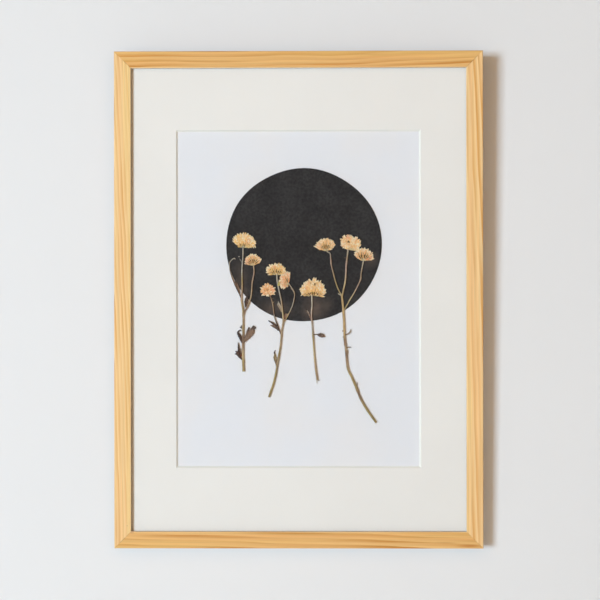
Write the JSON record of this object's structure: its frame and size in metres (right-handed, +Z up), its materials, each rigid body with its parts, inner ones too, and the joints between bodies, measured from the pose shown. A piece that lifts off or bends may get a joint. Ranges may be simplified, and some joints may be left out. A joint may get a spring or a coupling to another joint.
{
  "type": "pressed flower frame",
  "caption": "Upright wall frame with mitred wooden rails, glass and a bevelled white mat around dried pressed flowers on a black paper disc; hangs on one nail.",
  "frame": {"origin": "the middle notch of the sawtooth hanger, where the wall nail bears", "axes": "+Z up along the long rails, -Y out through the glass towards the viewer, +Y towards the wall, +X to the viewer's right"},
  "size_m": [0.3158, 0.0205, 0.4256],
  "materials": {
    "pine": "satin",
    "glass": "polished",
    "mat": "matte",
    "white_paper": "matte",
    "black_paper": "matte",
    "hardboard": "matte",
    "steel": "satin",
    "hanger_steel": "satin",
    "dried_petals": "matte",
    "dried_stem": "matte",
    "dried_leaf": "matte"
  },
  "bodies": {
    "root": {"backing_board": "hardboard", "backing_paper": "white_paper", "black_paper_disc": "black_paper", "flower_1_main": "dried_petals", "flower_1_right": "dried_petals", "flower_2_left": "dried_petals", "flower_2_main": "dried_petals", "flower_2_right": "dried_petals", "flower_3_main": "dried_petals", "flower_4_left": "dried_petals", "flower_4_middle": "dried_petals", "flower_4_right": "dried_petals", "glazing": "glass", "hanger_brad_1": "steel", "hanger_brad_2": "steel", "leaf_1_fork": "dried_leaf", "leaf_1_left": "dried_leaf", "leaf_1_low": "dried_leaf", "leaf_1_right": "dried_leaf", "leaf_1_twig": "dried_leaf", "leaf_2_bract": "dried_leaf", "leaf_2_fork": "dried_leaf", "leaf_2_forked": "dried_leaf", "leaf_2_low": "dried_leaf", "leaf_3_bract": "dried_leaf", "leaf_3_side": "dried_leaf", "mat_board": "mat", "point_tab_bottom_1": "steel", "point_tab_bottom_2": "steel", "point_tab_left_1": "steel", "point_tab_left_2": "steel", "point_tab_right_1": "steel", "point_tab_right_2": "steel", "point_tab_top_1": "steel", "point_tab_top_2": "steel", "rail_bottom": "pine", "rail_left": "pine", "rail_right": "pine", "rail_top": "pine", "sawtooth_hanger": "hanger_steel", "stem_1_left_twig": "dried_stem", "stem_1_main": "dried_stem", "stem_1_right_branch": "dried_stem", "stem_2_left_branch": "dried_stem", "stem_2_main": "dried_stem", "stem_2_right_branch": "dried_stem", "stem_3_main": "dried_stem", "stem_4_left_branch": "dried_stem", "stem_4_main": "dried_stem", "stem_4_middle_branch": "dried_stem", "stem_4_right_branch": "dried_stem", "twig_4_lower": "dried_stem", "twig_4_upper": "dried_stem", "v_nail_bottom": "steel", "v_nail_left": "steel", "v_nail_right": "steel", "v_nail_top": "steel"}
  },
  "joints": []
}
